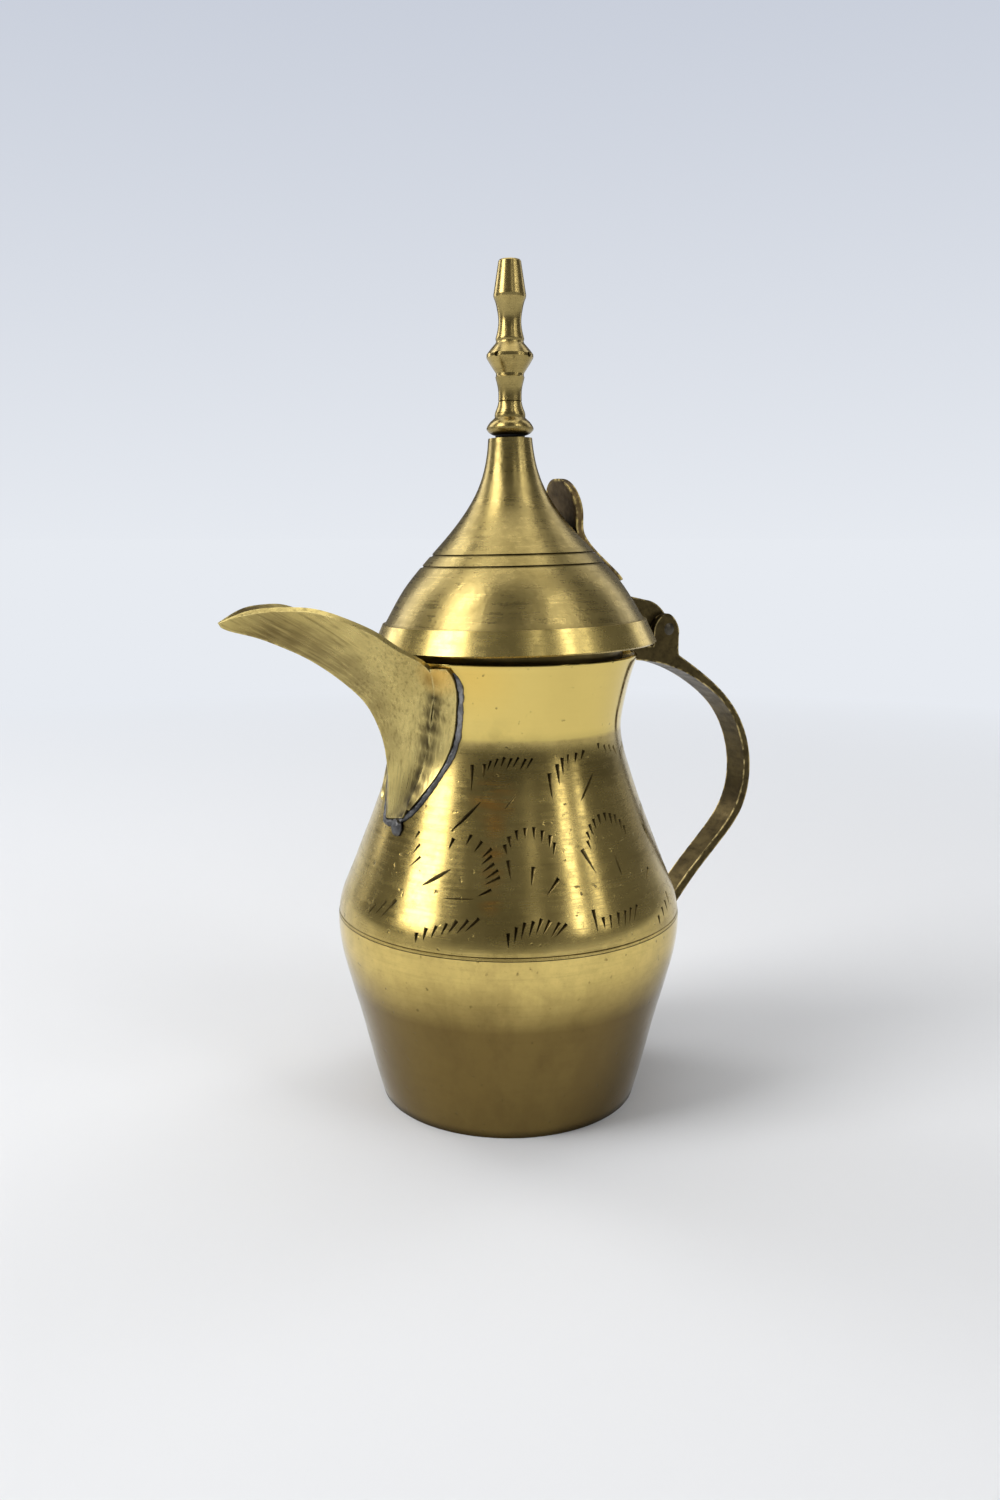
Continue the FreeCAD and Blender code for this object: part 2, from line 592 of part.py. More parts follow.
dome_shell = seat(outside_shell(dome_stations, lid_solder_height))
hinge_leaf_solder = solder_patch(dome_shell, 12.0, -2.2, 83.0, 14.0, 4.4, 4.7, [hinge_leaf])
thumb_tab_solder = solder_patch(dome_shell, 10.0, -4.5, 88.3, 14.0, 9.0, 5.4, [thumb_tab])
print("lid solder", hinge_leaf_solder.isValid(), round(hinge_leaf_solder.Volume, 2),
      thumb_tab_solder.isValid(), round(thumb_tab_solder.Volume, 2))
save("hinge_leaf_solder", hinge_leaf_solder)
save("thumb_tab_solder", thumb_tab_solder)

print("lid", lid_dome.isValid(), round(lid_dome.Volume, 1), lid_band.isValid(),
      round(lid_band.Volume, 1), lid_collar.isValid(), round(lid_collar.Volume, 1),
      finial.isValid(), round(finial.Volume, 1), finial_solder.isValid(),
      round(finial_solder.Volume, 2), hinge_leaf.isValid(), round(hinge_leaf.Volume, 1),
      thumb_tab.isValid(), round(thumb_tab.Volume, 1))
save("lid_dome", lid_dome)
save("lid_band", lid_band)
save("lid_collar", lid_collar)
save("finial", finial)
save("finial_solder", finial_solder)
save("hinge_leaf", hinge_leaf)
save("thumb_tab", thumb_tab)
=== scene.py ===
import math
import random

import bmesh
import bpy
import numpy as np
from mathutils import Matrix, Vector, noise


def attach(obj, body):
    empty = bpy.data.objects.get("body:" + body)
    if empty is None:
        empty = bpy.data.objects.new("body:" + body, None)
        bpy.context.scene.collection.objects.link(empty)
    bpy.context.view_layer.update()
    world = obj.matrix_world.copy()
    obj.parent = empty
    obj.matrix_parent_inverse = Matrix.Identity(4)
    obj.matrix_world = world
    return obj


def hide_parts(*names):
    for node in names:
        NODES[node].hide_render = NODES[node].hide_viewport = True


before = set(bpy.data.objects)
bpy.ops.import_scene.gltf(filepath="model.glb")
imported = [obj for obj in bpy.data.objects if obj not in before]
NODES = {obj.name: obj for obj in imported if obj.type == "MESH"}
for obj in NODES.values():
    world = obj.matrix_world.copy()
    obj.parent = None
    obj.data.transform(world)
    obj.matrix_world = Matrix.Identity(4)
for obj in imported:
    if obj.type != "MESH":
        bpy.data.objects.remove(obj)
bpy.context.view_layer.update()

MM = 0.001
rng = random.Random(20)

# ---------------------------------------------------------------- camera
SENSOR_MM = 36.0
LENS_MM = 28.8

camera_data = bpy.data.cameras.new("camera")
camera_data.sensor_fit = "VERTICAL"
camera_data.sensor_height = SENSOR_MM
camera_data.lens = LENS_MM
camera_data.clip_start = 0.01
camera_data.clip_end = 100.0
camera = bpy.data.objects.new("camera", camera_data)
bpy.context.collection.objects.link(camera)
eye = Vector((-0.10277, -0.17507, 0.09643))
forward = Vector((0.4922, 0.8525, -0.1762)).normalized()
right = Vector((0.8660, -0.5, 0.0)).normalized()
up = right.cross(forward)
facing = Matrix((right, up, -forward)).transposed().to_4x4()
camera.matrix_world = Matrix.Translation(eye) @ facing
bpy.context.scene.camera = camera
bpy.context.scene.view_settings.view_transform = "Standard"
bpy.context.scene.view_settings.look = "None"


# ---------------------------------------------------------------- material building blocks
CORNER_SHADE = (0.45, 0.95)     # occlusion between which grime fades out of a corner
EDGE_TURN = (0.006, 0.06)       # how far a bevelled normal turns between no edge and a full edge
BLOTCH_CORE = 0.15              # share of a blotch's reach that is at full strength


class Nodes:
    """A small wrapper that builds one material's node tree."""

    def __init__(self, name, tree=None):
        if tree is None:
            self.material = bpy.data.materials.new(name)
            self.material.use_nodes = True
            tree = self.material.node_tree
        self.tree = tree
        tree.nodes.clear()

    def add(self, kind, inputs=None, **props):
        node = self.tree.nodes.new("ShaderNode" + kind)
        for key, value in props.items():
            setattr(node, key, value)
        for key, value in (inputs or {}).items():
            self.put(node.inputs[key], value)
        return node

    def put(self, socket, value):
        if isinstance(value, bpy.types.NodeSocket):
            self.tree.links.new(value, socket)
        else:
            socket.default_value = value

    def coord(self):
        return self.add("TexCoord").outputs["Object"]

    def scaled(self, vector, scale, tilt=0.0):
        """Scaled coordinates; the first axis is tilted in the XZ plane by an angle in degrees."""
        if tilt:
            turn = (0, math.radians(tilt), 0)
            vector = self.add("Mapping", {"Vector": vector, "Rotation": turn}).outputs[0]
        return self.add("Mapping", {"Vector": vector, "Scale": scale}).outputs[0]

    def noise(self, vector, scale, detail=4.0, rough=0.55, warp=0.0):
        return self.add("TexNoise", {"Vector": vector, "Scale": scale, "Detail": detail,
                                     "Roughness": rough, "Distortion": warp}).outputs["Fac"]

    def span(self, value, low, high, to_low=0.0, to_high=1.0):
        return self.add("MapRange", {"Value": value, "From Min": low, "From Max": high,
                                     "To Min": to_low, "To Max": to_high}).outputs[0]

    def math(self, what, a, b=0.0):
        clamp = what in ("MULTIPLY", "ADD")
        return self.add("Math", {0: a, 1: b}, operation=what, use_clamp=clamp).outputs[0]

    def mix(self, share, a, b):
        node = self.add("Mix", data_type="RGBA")
        for index, value in ((0, share), (6, a), (7, b)):
            self.put(node.inputs[index], value)
        return node.outputs[2]

    def near(self, vector, place, reach):
        """1 at the place (mm), falling to 0 at the reach (mm)."""
        centre = [c * MM for c in place]
        away = self.add("VectorMath", {0: vector, 1: centre}, operation="DISTANCE").outputs["Value"]
        return self.span(away, BLOTCH_CORE * reach * MM, reach * MM, 1.0, 0.0)

    def crease(self, reach_mm):
        """1 deep in corners, 0 on open surfaces."""
        shade = self.add("AmbientOcclusion", {"Distance": reach_mm * MM}, samples=8).outputs["AO"]
        return self.span(shade, *CORNER_SHADE, 1.0, 0.0)

    def edge(self, radius_mm):
        """1 on sharp edges, 0 on flats."""
        soft = self.add("Bevel", {"Radius": radius_mm * MM}, samples=6).outputs[0]
        hard = self.add("NewGeometry").outputs["Normal"]
        same = self.add("VectorMath", {0: soft, 1: hard}, operation="DOT_PRODUCT").outputs["Value"]
        return self.span(self.math("SUBTRACT", 1.0, same), *EDGE_TURN)

    def bump(self, height, strength, distance_mm, normal=None):
        inputs = {"Height": height, "Strength": strength, "Distance": distance_mm * MM}
        if normal is not None:
            inputs["Normal"] = normal
        return self.add("Bump", inputs).outputs[0]


def tone(r, g, b):
    return (r, g, b, 1.0)


# noise frequencies, per metre
PATINA_SCALE = 75
MOTTLE_SCALE = 420
RUB_SCALE = 700
PIT_SCALE = 900
GRAIN_SCALE = 1100
SPECK_SCALE = 2300

SPECK_SHARE = 0.16
PIT_SHARE = 0.7
CORNER_ROUGHNESS = 0.25
MOTTLE_ROUGHNESS = 0.10


def metal(name, light, mid, dark, rough, lines=(55, 55, 2100), tilt=0.0, cross=None, line_bump=0.16,
          line_rough=0.10, patina=(0.38, 0.68), mottle=0.5, grime=tone(0.035, 0.025, 0.010),
          grime_reach=1.6, grime_share=0.8, worn=None, worn_radius=0.45, aniso=0.0, grain=0.0,
          pits=0.0, line_shade=0.22, two_sided=False, zones=()):
    """Aged brass or bronze: lathe or file lines, mottled patina, grime in the corners, and bright
    worn edges.

    lines are the line noise's frequencies per metre, at a tilt; cross is a second tilt and the mask
    of where it takes over.  zones are (mask builder, colour, share, roughness change)."""
    n = Nodes(name)
    at = n.coord()
    zone_at = at
    if two_sided:
        x, y, z = n.add("SeparateXYZ", {0: at}).outputs
        off_centre = n.add("Math", {0: y}, operation="ABSOLUTE").outputs[0]
        zone_at = n.add("CombineXYZ", {0: x, 1: off_centre, 2: z}).outputs[0]
    broad = n.span(n.noise(at, PATINA_SCALE, 6, 0.6, 0.4), *patina)
    small = n.span(n.noise(at, MOTTLE_SCALE, 7, 0.68), 0.42, 0.72)
    line = n.noise(n.scaled(at, lines, tilt), 1.0, 4, 0.65)
    if cross is not None:
        other_tilt, where = cross
        other = n.noise(n.scaled(at, lines, other_tilt), 1.0, 4, 0.65)
        line = n.add("Mix", {0: where(n, at), 2: line, 3: other}).outputs[0]
    speck = n.span(n.noise(at, SPECK_SCALE, 3, 0.6), 0.60, 0.74)
    colour = n.mix(broad, light, mid)
    colour = n.mix(n.math("MULTIPLY", small, mottle), colour, dark)
    colour = n.mix(n.math("MULTIPLY", n.span(line, 0.50, 0.72), line_shade), colour, dark)
    colour = n.mix(n.math("MULTIPLY", speck, SPECK_SHARE), colour, dark)
    roughness = n.add("Math", {0: n.span(line, 0.3, 0.7, rough - line_rough, rough + line_rough),
                               1: n.math("MULTIPLY", small, MOTTLE_ROUGHNESS)},
                      operation="ADD").outputs[0]
    for build, paint, share, gloss in zones:
        mask = n.math("MULTIPLY", build(n, zone_at), share)
        colour = n.mix(mask, colour, paint)
        roughness = n.add("Math", {0: mask, 1: gloss, 2: roughness},
                          operation="MULTIPLY_ADD").outputs[0]
    corner = n.math("MULTIPLY", n.crease(grime_reach), grime_share)
    colour = n.mix(corner, colour, grime)
    roughness = n.add("Math", {0: corner, 1: CORNER_ROUGHNESS, 2: roughness},
                      operation="MULTIPLY_ADD").outputs[0]
    if worn is not None:
        rub = n.math("MULTIPLY", n.edge(worn_radius), n.span(n.noise(at, RUB_SCALE, 4), 0.42, 0.60))
        colour = n.mix(rub, colour, worn)
    normal = n.bump(line, line_bump, 0.02)
    if grain:
        normal = n.bump(n.noise(at, GRAIN_SCALE, 5, 0.6), grain, 0.12, normal)
    if pits:
        hole = n.span(n.noise(at, PIT_SCALE, 2, 0.4), 0.70, 0.78)
        colour = n.mix(n.math("MULTIPLY", hole, PIT_SHARE), colour, dark)
        normal = n.bump(n.math("SUBTRACT", 1.0, hole), pits, 0.08, normal)
    inputs = {"Base Color": colour, "Metallic": 1.0, "Roughness": roughness, "Normal": normal}
    if aniso:
        inputs["Anisotropic"] = aniso
        inputs["Anisotropic Rotation"] = 0.25
        inputs["Tangent"] = n.add("Tangent", direction_type="RADIAL", axis="Z").outputs[0]
    shader = n.add("BsdfPrincipled", inputs)
    n.add("OutputMaterial", {"Surface": shader.outputs[0]})
    return n.material


def height_band(low, high, soft):
    """A band between two heights (mm), with soft edges."""
    def build(n, at):
        z = n.add("SeparateXYZ", {0: at}).outputs[2]
        rise = n.span(z, (low - soft) * MM, (low + soft) * MM)
        fall = n.span(z, (high - soft) * MM, (high + soft) * MM, 1.0, 0.0)
        return n.math("MULTIPLY", rise, fall)
    return build


def patch_at(place, reach, streak):
    """A blotch round a place (mm), broken up by noise stretched to the streak's frequencies."""
    def build(n, at):
        spread = n.near(at, place, reach)
        broken = n.span(n.noise(n.scaled(at, streak), 1.0, 5, 0.6), 0.42, 0.62)
        return n.math("MULTIPLY", spread, broken)
    return build


def trail(places, reach, streak, tilt=0.0, gaps=(0.36, 0.56)):
    """A blotchy trail along several places (mm); the noise's gaps are where it fades out and in."""
    def build(n, at):
        spread = n.near(at, places[0], reach)
        for place in places[1:]:
            spread = n.add("Math", {0: spread, 1: n.near(at, place, reach)},
                           operation="MAXIMUM").outputs[0]
        streaks = n.noise(n.scaled(at, streak, tilt), 1.0, 5, 0.6)
        return n.math("MULTIPLY", spread, n.span(streaks, *gaps))
    return build


def beyond(x, soft):
    """1 on the side of higher x (mm), 0 on the other."""
    def build(n, at):
        return n.span(n.add("SeparateXYZ", {0: at}).outputs[0], (x - soft) * MM, (x + soft) * MM)
    return build


def wash(place, reach):
    """An even blotch round a place (mm)."""
    def build(n, at):
        return n.near(at, place, reach)
    return build


# ---------------------------------------------------------------- metals
OLIVE = tone(0.135, 0.100, 0.032)
ORANGE = tone(0.78, 0.36, 0.06)
NECK_GOLD = tone(0.80, 0.61, 0.18)
# painted shade for the shoulder's right side
RIGHT_SIDE_PAINTED_SHADE = tone(0.27, 0.19, 0.062)
BODY_HEAT = tone(0.84, 0.54, 0.11)
CHEEK_HEAT = tone(0.84, 0.50, 0.11)
# painted dark reflection for the lower bowl, darker towards the foot
BOWL_PAINTED_REFLECTION = tone(0.150, 0.098, 0.031)
BOWL_BLOTCH = tone(0.13, 0.085, 0.03)
KEEL_SHADE = tone(0.12, 0.082, 0.028)
CREASE_STAIN = tone(0.085, 0.062, 0.026)
CREASE_BLACK = tone(0.050, 0.037, 0.017)
TIP_SHADE = tone(0.10, 0.070, 0.030)

# places on the metal, in millimetres
ORANGE_RUN = ((-13.3, -18.4, 52.0), (-14.3, -19.6, 48.5), (-15.0, -20.6, 45.0), (-15.8, -21.5, 41.0))
CREASE = ((-19.9, 10.7, 74.5), (-19.3, 9.9, 71.5), (-19.1, 9.0, 69.0), (-19.0, 8.0, 66.5),
          (-19.2, 7.4, 64.0), (-19.4, 6.9, 61.5), (-20.1, 6.6, 59.0), (-20.9, 6.3, 56.8),
          (-21.8, 5.8, 54.4), (-22.6, 5.0, 52.0))
KEEL_SIDE = ((-43.0, 2.2, 80.8), (-39.5, 2.7, 79.2), (-36.2, 3.1, 77.2), (-33.0, 3.2, 74.6),
             (-30.2, 3.1, 71.6), (-28.2, 2.8, 68.0), (-27.0, 2.4, 63.5))

body_brass = metal(
    "brass_shoulder", tone(0.66, 0.50, 0.17), tone(0.49, 0.365, 0.115), OLIVE, 0.21, aniso=0.4,
    line_rough=0.05, line_bump=0.07, mottle=0.30, pits=0.5, line_shade=0.28, zones=(
        (height_band(64.7, 90.0, 0.35), NECK_GOLD, 0.92, -0.12),
        # painted shade: a dark band round the shoulder just under the neck
        (height_band(57.5, 64.4, 1.6), OLIVE, 0.42, 0.04),
        # painted shade on the shoulder's right side, away from the key light
        (wash((17.0, -20.0, 48.0), 14.0), RIGHT_SIDE_PAINTED_SHADE, 0.55, 0.03),
        (wash((-14.5, -14.0, 75.5), 8.0), BODY_HEAT, 0.45, 0.0),
        (patch_at((-12.8, -17.2, 56.3), 4.4, (120, 120, 1500)), ORANGE, 0.85, 0.0),
        (trail(ORANGE_RUN, 2.3, (120, 120, 1500)), ORANGE, 0.6, 0.0),
        (patch_at((-11.0, -16.2, 60.5), 9.0, (300, 300, 300)), OLIVE, 0.35, 0.06)))
bowl_brass = metal(
    "brass_bowl", tone(0.80, 0.61, 0.20), tone(0.68, 0.51, 0.165), OLIVE, 0.10, line_bump=0.06,
    line_rough=0.03, mottle=0.22, pits=0.4, line_shade=0.12, zones=(
        # painted dark reflection: the lower bowl darkened towards the foot, as if it mirrored dark ground
        # round the pot
        (height_band(-12.0, 24.5, 4.5), BOWL_PAINTED_REFLECTION, 0.90, 0.03),
        (patch_at((-14.0, -23.0, 12.0), 26.0, (130, 130, 60)), BOWL_BLOTCH, 0.6, 0.04)))
dome_brass = metal(
    "brass_dome", tone(0.45, 0.345, 0.127), tone(0.31, 0.235, 0.080), OLIVE, 0.27,
    lines=(70, 70, 2900), line_bump=0.08, line_rough=0.05, line_shade=0.08, aniso=0.4, mottle=0.28,
    grain=0.3)
band_brass = metal(
    "brass_band", tone(0.72, 0.55, 0.19), tone(0.55, 0.42, 0.135), OLIVE, 0.23, line_bump=0.10,
    line_rough=0.03, mottle=0.3, aniso=0.2)
# the collar's brass is painted dark as shade: it stands for the shadowed gap under the lid
painted_shade_collar = metal("brass_collar_painted_shade", tone(0.20, 0.15, 0.055), tone(0.12, 0.09, 0.032), OLIVE, 0.36)
turned_brass = metal(
    "brass_finial", tone(0.47, 0.355, 0.13), tone(0.32, 0.24, 0.08), OLIVE, 0.23,
    lines=(120, 120, 3600), line_bump=0.12, line_rough=0.05, mottle=0.4, grime_reach=1.3,
    grime_share=0.95, pits=0.5)


def cheek(name, more=()):
    """File-finished sheet: the lines run along the crescent, and down the foot on the pot's side of
    the bend.  more are zones for this cheek alone."""
    return metal(
        name, tone(0.66, 0.53, 0.20), tone(0.56, 0.44, 0.155), tone(0.14, 0.10, 0.034), 0.30,
        lines=(95, 1900, 1900), tilt=-30.0, cross=(80.0, beyond(-29.5, 1.2)), line_bump=0.55,
        line_rough=0.10, line_shade=0.60, mottle=0.18, grime_reach=2.4, grime_share=0.95,
        worn=tone(0.66, 0.54, 0.22), two_sided=True, zones=(
            (trail(KEEL_SIDE, 6.8, (90, 1300, 1300), -30.0, (0.20, 0.50)), KEEL_SHADE, 0.88, 0.03),
            (trail(CREASE[2:], 3.4, (1700, 1700, 240)), CREASE_STAIN, 0.80, 0.04),
            (trail(CREASE, 2.0, (500, 500, 200), gaps=(0.28, 0.46)), CREASE_BLACK, 0.92, 0.05),
            (wash((-18.9, 11.6, 75.5), 4.2), CHEEK_HEAT, 0.65, 0.0)) + more)


cheek_brass = cheek("brass_cheek_near")
far_cheek_brass = cheek("brass_cheek_far", (
    (wash((-45.0, 3.0, 84.2), 11.0), TIP_SHADE, 0.85, 0.08),))
handle_bronze = metal(
    "bronze_handle", tone(0.105, 0.077, 0.029), tone(0.062, 0.044, 0.017), tone(0.020, 0.014, 0.006),
    0.36, lines=(800, 130, 800), line_bump=0.45, line_shade=0.6, mottle=0.55, grime_reach=1.4,
    worn=tone(0.72, 0.56, 0.24), worn_radius=0.5, grain=0.35)
tab_bronze = metal(
    "bronze_tab", tone(0.17, 0.115, 0.048), tone(0.10, 0.066, 0.028), tone(0.035, 0.023, 0.011),
    0.40, lines=(500, 500, 500), line_bump=0.3, mottle=0.7, grime_reach=1.2,
    worn=tone(0.86, 0.66, 0.24), worn_radius=0.8, grain=0.6)
pin_metal = metal(
    "pin_grey_brass", tone(0.12, 0.105, 0.08), tone(0.075, 0.066, 0.05), tone(0.04, 0.034, 0.02), 0.42,
    lines=(900, 900, 900), mottle=0.6, grime_reach=0.8, grain=0.4)
solder_metal = metal(
    "lead_tin_solder", tone(0.33, 0.325, 0.32), tone(0.15, 0.148, 0.146), tone(0.02, 0.02, 0.021),
    0.34, lines=(900, 900, 900), line_bump=0.3, mottle=0.9, patina=(0.46, 0.57),
    grime=tone(0.008, 0.008, 0.009), grime_reach=1.0, grime_share=0.95, grain=0.9)
chisel_brass = metal(
    "brass_chisel_cut", tone(0.34, 0.25, 0.09), tone(0.075, 0.053, 0.018), tone(0.012, 0.009, 0.004),
    0.26, lines=(1500, 1500, 1500), mottle=0.8, grime_reach=0.5, grime_share=0.9)

FINISH = {
    "body_lower": bowl_brass, "base_plate": bowl_brass, "body_upper": body_brass,
    "spout_cheek_left": cheek_brass, "spout_cheek_right": far_cheek_brass,
    "spout_solder": solder_metal,
    "keel_solder": solder_metal, "handle": handle_bronze, "hinge_pin": pin_metal,
    "handle_solder_top": solder_metal, "handle_solder_foot": solder_metal, "lid_dome": dome_brass,
    "lid_band": band_brass, "lid_collar": painted_shade_collar, "finial": turned_brass,
    "finial_solder": solder_metal, "hinge_leaf": handle_bronze, "hinge_leaf_solder": solder_metal,
    "thumb_tab": tab_bronze, "thumb_tab_solder": solder_metal}
for node_name, finish in FINISH.items():
    node = NODES[node_name]
    node.data.materials.clear()
    node.data.materials.append(finish)


# ---------------------------------------------------------------- curves
def smooth_line(points, count):
    """Natural cubic spline through the points, by chord length, sampled evenly."""
    p = np.array(points, float)
    s = np.concatenate([[0.0], np.cumsum(np.linalg.norm(np.diff(p, axis=0), axis=1))])
    h = np.diff(s)
    k = len(s)
    m = np.zeros((k, k))
    v = np.zeros(p.shape)
    m[0, 0] = m[-1, -1] = 1.0
    for i in range(1, k - 1):
        m[i, i - 1], m[i, i], m[i, i + 1] = h[i - 1], 2 * (h[i - 1] + h[i]), h[i]
        v[i] = 6 * ((p[i + 1] - p[i]) / h[i] - (p[i] - p[i - 1]) / h[i - 1])
    c = np.linalg.solve(m, v)
    out = []
    for t in np.linspace(0, s[-1], count):
        i = min(int(np.searchsorted(s, t, side="right")) - 1, k - 2)
        a, b = s[i + 1] - t, t - s[i]
        out.append((c[i] * a ** 3 + c[i + 1] * b ** 3) / (6 * h[i])
                   + (p[i] / h[i] - c[i] * h[i] / 6) * a
                   + (p[i + 1] / h[i] - c[i + 1] * h[i] / 6) * b)
    return np.array(out)


# radius and height of the shoulder's outside, in millimetres
SHOULDER = [(29.5, 32.6), (28.95, 35.5), (27.6, 39.0), (25.6, 44.0), (22.5, 52.0), (20.5, 58.0),
            (19.1, 64.5), (19.65, 69.0), (20.55, 73.0), (21.8, 77.0)]
outline = smooth_line(SHOULDER, 400)


def radius(z):
    """The shoulder's outer radius at a height (mm)."""
    return float(np.interp(z, outline[:, 1], outline[:, 0]))


def on_shoulder(azimuth, z, lift=0.0):
    """Point and outward normal on the shoulder, at an azimuth in degrees and a height in mm."""
    slope = (radius(z + 0.2) - radius(z - 0.2)) / 0.4
    a = math.radians(azimuth)
    normal = Vector((math.cos(a), math.sin(a), -slope)).normalized()
    r = radius(z)
    return Vector((r * math.cos(a), r * math.sin(a), z)) + normal * lift, normal


def new_piece(name, verts, faces, material, body, smooth=True):
    mesh = bpy.data.meshes.new(name)
    mesh.from_pydata([tuple(c * MM for c in v) for v in verts], [], faces)
    mesh.validate()
    mesh.materials.append(material)
    if smooth:
        mesh.shade_smooth()
    piece = bpy.data.objects.new(name, mesh)
    bpy.context.collection.objects.link(piece)
    if body:
        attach(piece, body)
    return piece


def fixed_mesh(piece):
    """Bakes a piece's modifiers into its mesh."""
    bpy.context.view_layer.update()
    evaluated = piece.evaluated_get(bpy.context.evaluated_depsgraph_get())
    mesh = bpy.data.meshes.new_from_object(evaluated)
    piece.modifiers.clear()
    piece.data = mesh
    return mesh


def outward_normals(piece):
    """Turns every face of a closed piece outwards."""
    bm = bmesh.new()
    bm.from_mesh(piece.data)
    bmesh.ops.recalc_face_normals(bm, faces=bm.faces)
    bm.to_mesh(piece.data)
    bm.free()


def tubes(runs):
    """Closed tubes through rings of points, as one list of vertices and faces."""
    verts, faces = [], []
    for rings in runs:
        base, k = len(verts), len(rings[0])
        for ring in rings:
            verts += [tuple(v) for v in ring]
        for i in range(len(rings) - 1):
            for j in range(k):
                a, b = base + i * k + j, base + i * k + (j + 1) % k
                faces.append((a, b, b + k, a + k))
        faces.append(tuple(base + j for j in reversed(range(k))))
        last = base + (len(rings) - 1) * k
        faces.append(tuple(last + j for j in range(k)))
    return verts, faces


# ---------------------------------------------------------------- engraved shoulder and neck
WALL = 0.9
SEGMENTS = 480
SEAM = 32.6
MOUTH = 77.0
# the seam edge is broken, and a second scribed line runs just above it
SEAM_EDGE = [(28.6, SEAM), (29.36, SEAM), (29.47, 32.72), (29.42, 33.05), (29.24, 33.17), (29.37, 33.29)]
SEAM_EDGE_TOP = 33.4
MOUTH_LIP = [(21.66, 76.65), (21.62, 76.85), (21.45, 76.97), (21.25, MOUTH), (21.05, 76.95), (20.85, 76.8)]
MOUTH_LIP_BOTTOM = 76.6

outside = [(r, z) for r, z in smooth_line(SHOULDER, 132)[2:-2] if SEAM_EDGE_TOP < z < MOUTH_LIP_BOTTOM]
profile = SEAM_EDGE + outside + MOUTH_LIP
inner = smooth_line(SHOULDER, 40)
for i in range(len(inner) - 2, 0, -1):
    along = inner[i + 1] - inner[i - 1]
    along = along / np.linalg.norm(along)
    r, z = inner[i][0] - WALL * along[1], inner[i][1] + WALL * along[0]
    if SEAM + 0.1 < z < MOUTH - 0.5:
        profile.append((r, z))
k = len(profile)
verts, faces = [], []
for i in range(SEGMENTS):
    a = 2 * math.pi * i / SEGMENTS
    verts += [(r * math.cos(a), r * math.sin(a), z) for r, z in profile]
for i in range(SEGMENTS):
    for j in range(k):
        a, b = i * k, ((i + 1) % SEGMENTS) * k
        faces.append((a + j, b + j, b + (j + 1) % k, a + (j + 1) % k))
shoulder = new_piece("shoulder_engraved", verts, faces, body_brass, "pot")
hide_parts("body_upper")
outward_normals(shoulder)

CUT_STEP = 0.7          # length of a cut between two rings, at most
CUT_SLOPE = 0.93        # height lost for each unit of length down the sloping shoulder
CUT_SPREAD = 0.68       # half a cut's mouth against its nominal width
CUT_DEEPEN = 1.15
CUT_LIFT = 0.10         # how far the cutter stands out of the metal
cuts = []


def cut(azimuth, z, lean, length, width, depth=0.30, spindle=False):
    """A chisel cut: its head at (azimuth, z), running down with its tail leaning by an angle from the
    vertical (positive: the tail goes to lower azimuths).  It is a wedge that narrows to its tail, or
    a spindle pointed at both ends."""
    steps = max(4, int(length / CUT_STEP))
    rings = []
    per_degree = math.radians(1.0) * radius(z)
    aslant, downwards = math.sin(math.radians(lean)), math.cos(math.radians(lean))
    for i in range(steps + 1):
        t = i / steps
        down = t * length
        place = azimuth - down * aslant / per_degree
        height = z - down * downwards * CUT_SLOPE
        if spindle:
            share = math.sin(math.pi * min(0.98, max(0.03, t))) ** 0.6
        else:
            share = (1 - t) ** 0.75 + 0.04
        point, normal = on_shoulder(place, height)
        ahead, _ = on_shoulder(place - 0.3 * aslant, height - 0.1 * downwards)
        along = (ahead - point).normalized()
        side = normal.cross(along).normalized()
        half = CUT_SPREAD * width * share
        deep = CUT_DEEPEN * depth * share
        spread = half * (1 + CUT_LIFT / max(deep, 0.05))
        rings.append([point + normal * CUT_LIFT - side * spread,
                      point + normal * CUT_LIFT + side * spread,
                      point - normal * deep])
    cuts.append(rings)


def cut_row(start, end, z0, z1, count, lean0, lean1, length0, length1, width, arch=0.0):
    """A row of cuts from one azimuth to another, with evenly changing height, lean and length."""
    for i in range(count):
        t = i / (count - 1)
        cut(start + (end - start) * t + rng.uniform(-0.25, 0.25),
            z0 + (z1 - z0) * t + arch * math.sin(math.pi * t) + rng.uniform(-0.15, 0.15),
            lean0 + (lean1 - lean0) * t + rng.uniform(-3, 3),
            length0 + (length1 - length0) * t + rng.uniform(-0.2, 0.2),
            width * rng.uniform(0.85, 1.15))


def cut_arch(azimuth, z, size, first, last, count, length, width, radial):
    """Short cuts along an arch about a centre; angles from the horizontal, on the side of rising
    azimuth.  radial 1 points every cut at the centre, 0 leaves it upright."""
    for i in range(count):
        angle = math.radians(first + (last - first) * i / (count - 1))
        across, rise = size * math.cos(angle), size * math.sin(angle)
        place = azimuth + math.degrees(across / radius(z + rise))
        lean = radial * math.degrees(math.atan2(across, max(rise, 0.3 * size)))
        cut(place + rng.uniform(-0.2, 0.2), z + rise + rng.uniform(-0.1, 0.1),
            lean + rng.uniform(-4, 4), length * rng.uniform(0.85, 1.2),
            width * rng.uniform(0.85, 1.15))


# the neck rows
cut(-137.3, 61.1, -3, 4.3, 0.5)
cut(-131.6, 61.3, 0, 2.3, 0.5)
cut_row(-128.7, -109.2, 61.8, 62.1, 7, 16, 33, 1.7, 2.4, 0.34, 0.4)
cut(-101.7, 59.8, -1, 4.5, 0.55)
cut(-97.5, 61.1, 0, 3.5, 0.55)
cut(-94.6, 62.0, 3, 3.0, 0.5)
cut_row(-91.3, -82.0, 62.3, 62.9, 3, 10, 27, 1.9, 1.8, 0.42)
cut_row(-71.5, -57.7, 63.4, 62.4, 4, -4, -26, 1.1, 2.1, 0.4)
cut(-78.8, 59.0, 39, 5.3, 0.34, 0.2, True)
